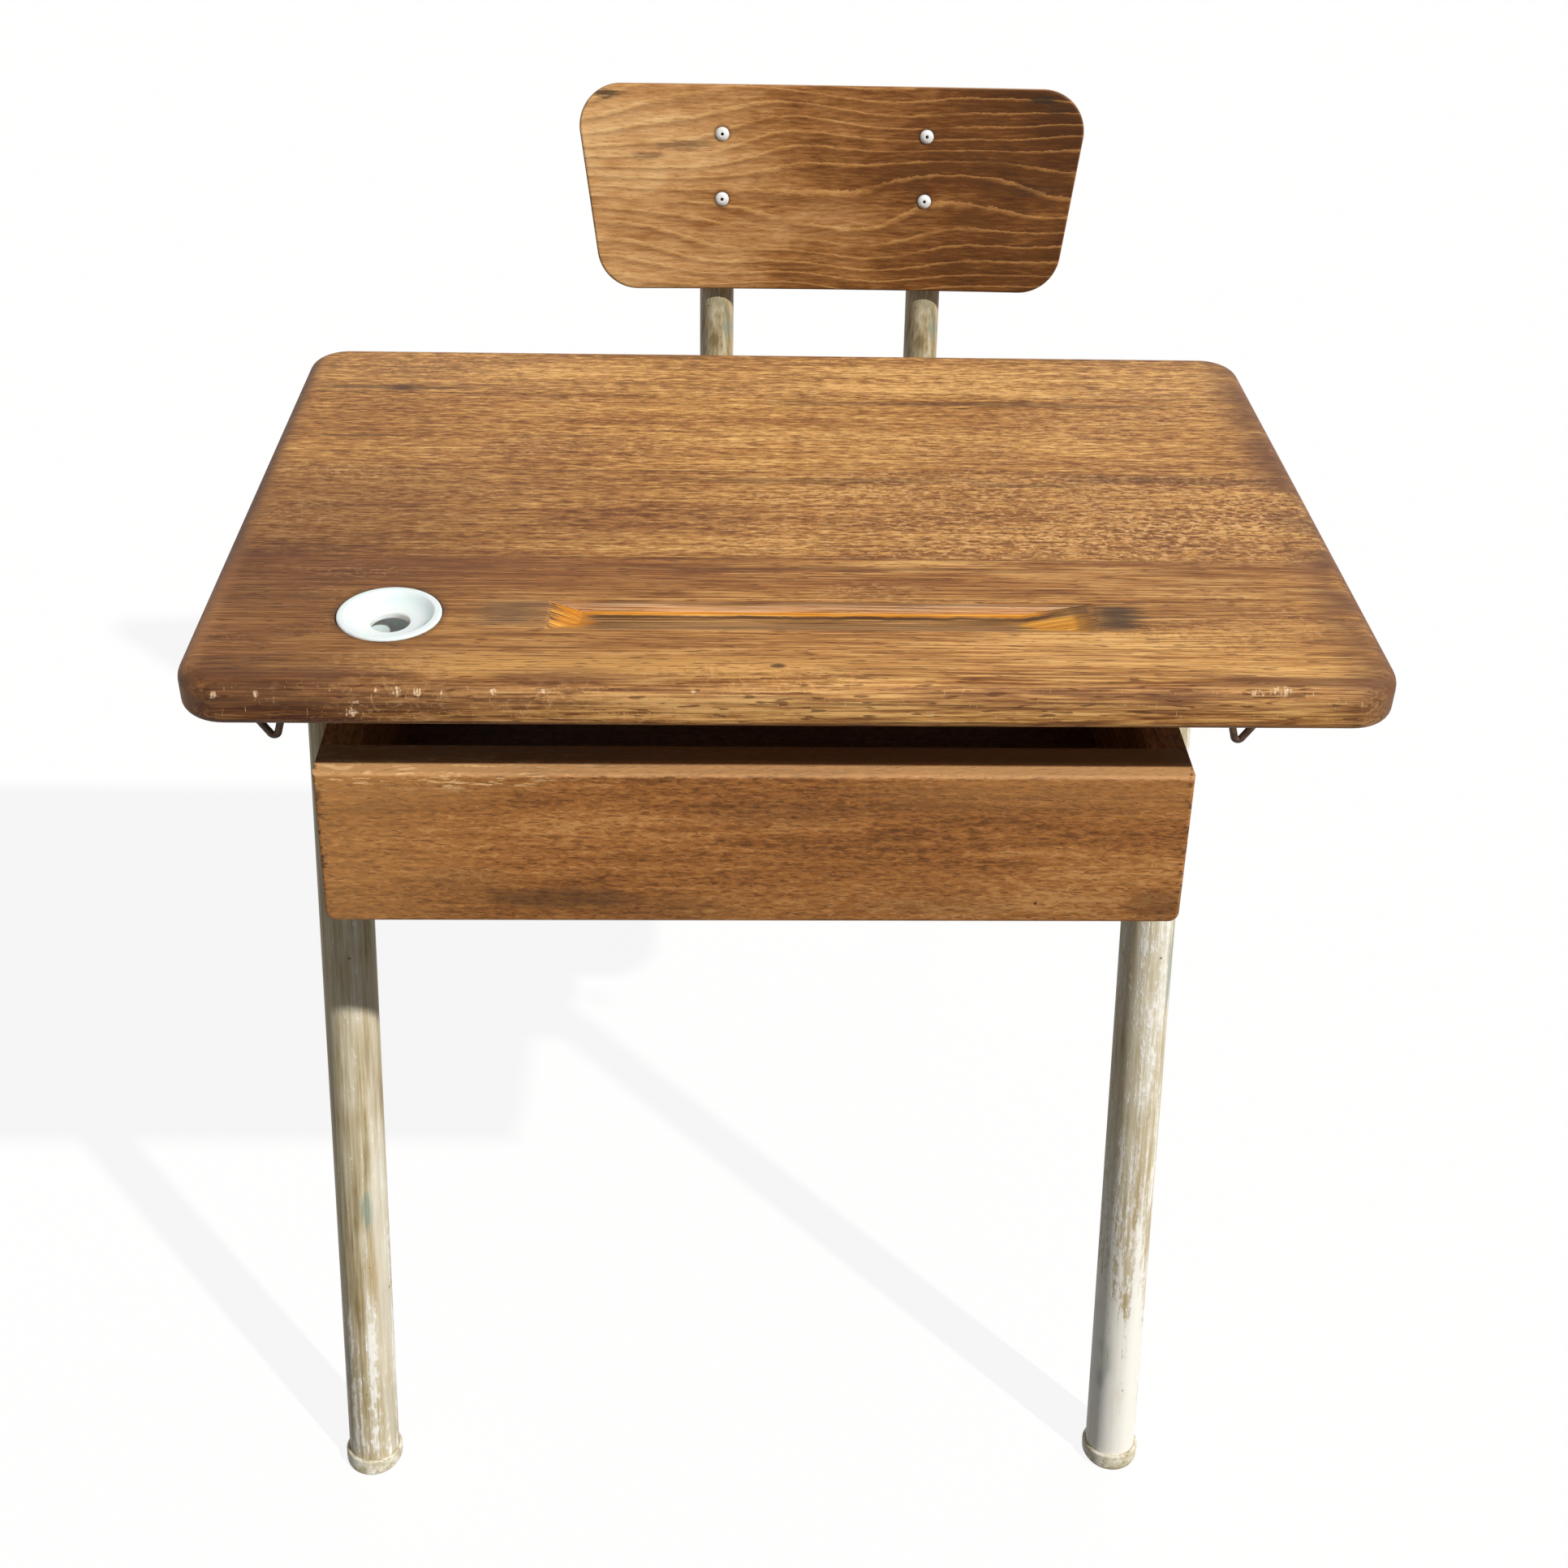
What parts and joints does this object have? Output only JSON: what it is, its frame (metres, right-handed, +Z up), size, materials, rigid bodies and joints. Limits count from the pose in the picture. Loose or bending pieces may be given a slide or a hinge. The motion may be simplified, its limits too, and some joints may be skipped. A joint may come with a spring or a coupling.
{
  "type": "school desk with lift lid and attached seat",
  "caption": "School desk with a lifting wooden top, dished porcelain inkwell, pencil groove and open book box on raked tube legs, with a plywood seat and backrest on bent tubes.",
  "frame": {"origin": "on the floor, under the middle of the desk's bounding box", "axes": "+X to the right as seen from the front panel, +Y from the front panel towards the seat, +Z up"},
  "size_m": [0.664, 0.7528, 0.8221],
  "materials": {
    "lid_wood": "worn waxed oak",
    "box_wood": "worn waxed wood",
    "seat_wood": "satin beech plywood",
    "tube_paint": "worn paint",
    "dark_steel": "dark steel",
    "screw_steel": "zinc plated",
    "rivet_metal": "satin",
    "cap_plastic": "worn",
    "plug_plastic": "matt black",
    "buffer_rubber": "matt",
    "porcelain": "glossy glaze"
  },
  "bodies": {
    "frame": {"backrest_board": "seat_wood", "backrest_rivets": "rivet_metal", "bag_hook_left": "dark_steel", "bag_hook_right": "dark_steel", "box_back_panel": "box_wood", "box_floor": "box_wood", "box_front_panel": "box_wood", "box_hanger_left": "tube_paint", "box_hanger_right": "tube_paint", "box_screws": "screw_steel", "box_side_left": "box_wood", "box_side_right": "box_wood", "cross_tube": "tube_paint", "front_foot_left": "cap_plastic", "front_foot_right": "cap_plastic", "front_leg_left": "tube_paint", "front_leg_right": "tube_paint", "hinge_pin_left": "screw_steel", "hinge_pin_right": "screw_steel", "hinge_rail_leaf_left": "dark_steel", "hinge_rail_leaf_right": "dark_steel", "hinge_rail_screws": "screw_steel", "lid_buffers": "buffer_rubber", "rail_plugs": "plug_plastic", "rear_foot_left": "cap_plastic", "rear_foot_right": "cap_plastic", "rear_leg_left": "tube_paint", "rear_leg_right": "tube_paint", "seat_board": "seat_wood", "seat_cross_tube": "tube_paint", "seat_rivets": "rivet_metal", "seat_spine_left": "tube_paint", "seat_spine_right": "tube_paint", "spine_plugs": "plug_plastic", "top_rail_left": "tube_paint", "top_rail_right": "tube_paint"},
    "lid": {"desktop_lid": "lid_wood", "hinge_lid_leaf_left": "dark_steel", "hinge_lid_leaf_right": "dark_steel", "hinge_lid_screws": "screw_steel"},
    "inkwell": {"inkwell": "porcelain"}
  },
  "joints": [
    {"name": "lid_hinge", "type": "hinge", "parent": "frame", "child": "lid", "pos_m": [-0.00847, -0.34745, 0.6816], "axis": [1, 0, 0], "range_deg": [0, 70]},
    {"name": "inkwell_lift", "type": "slide", "parent": "lid", "child": "inkwell", "axis": [0, 0, 1], "range_m": [0, 0.06]}
  ]
}
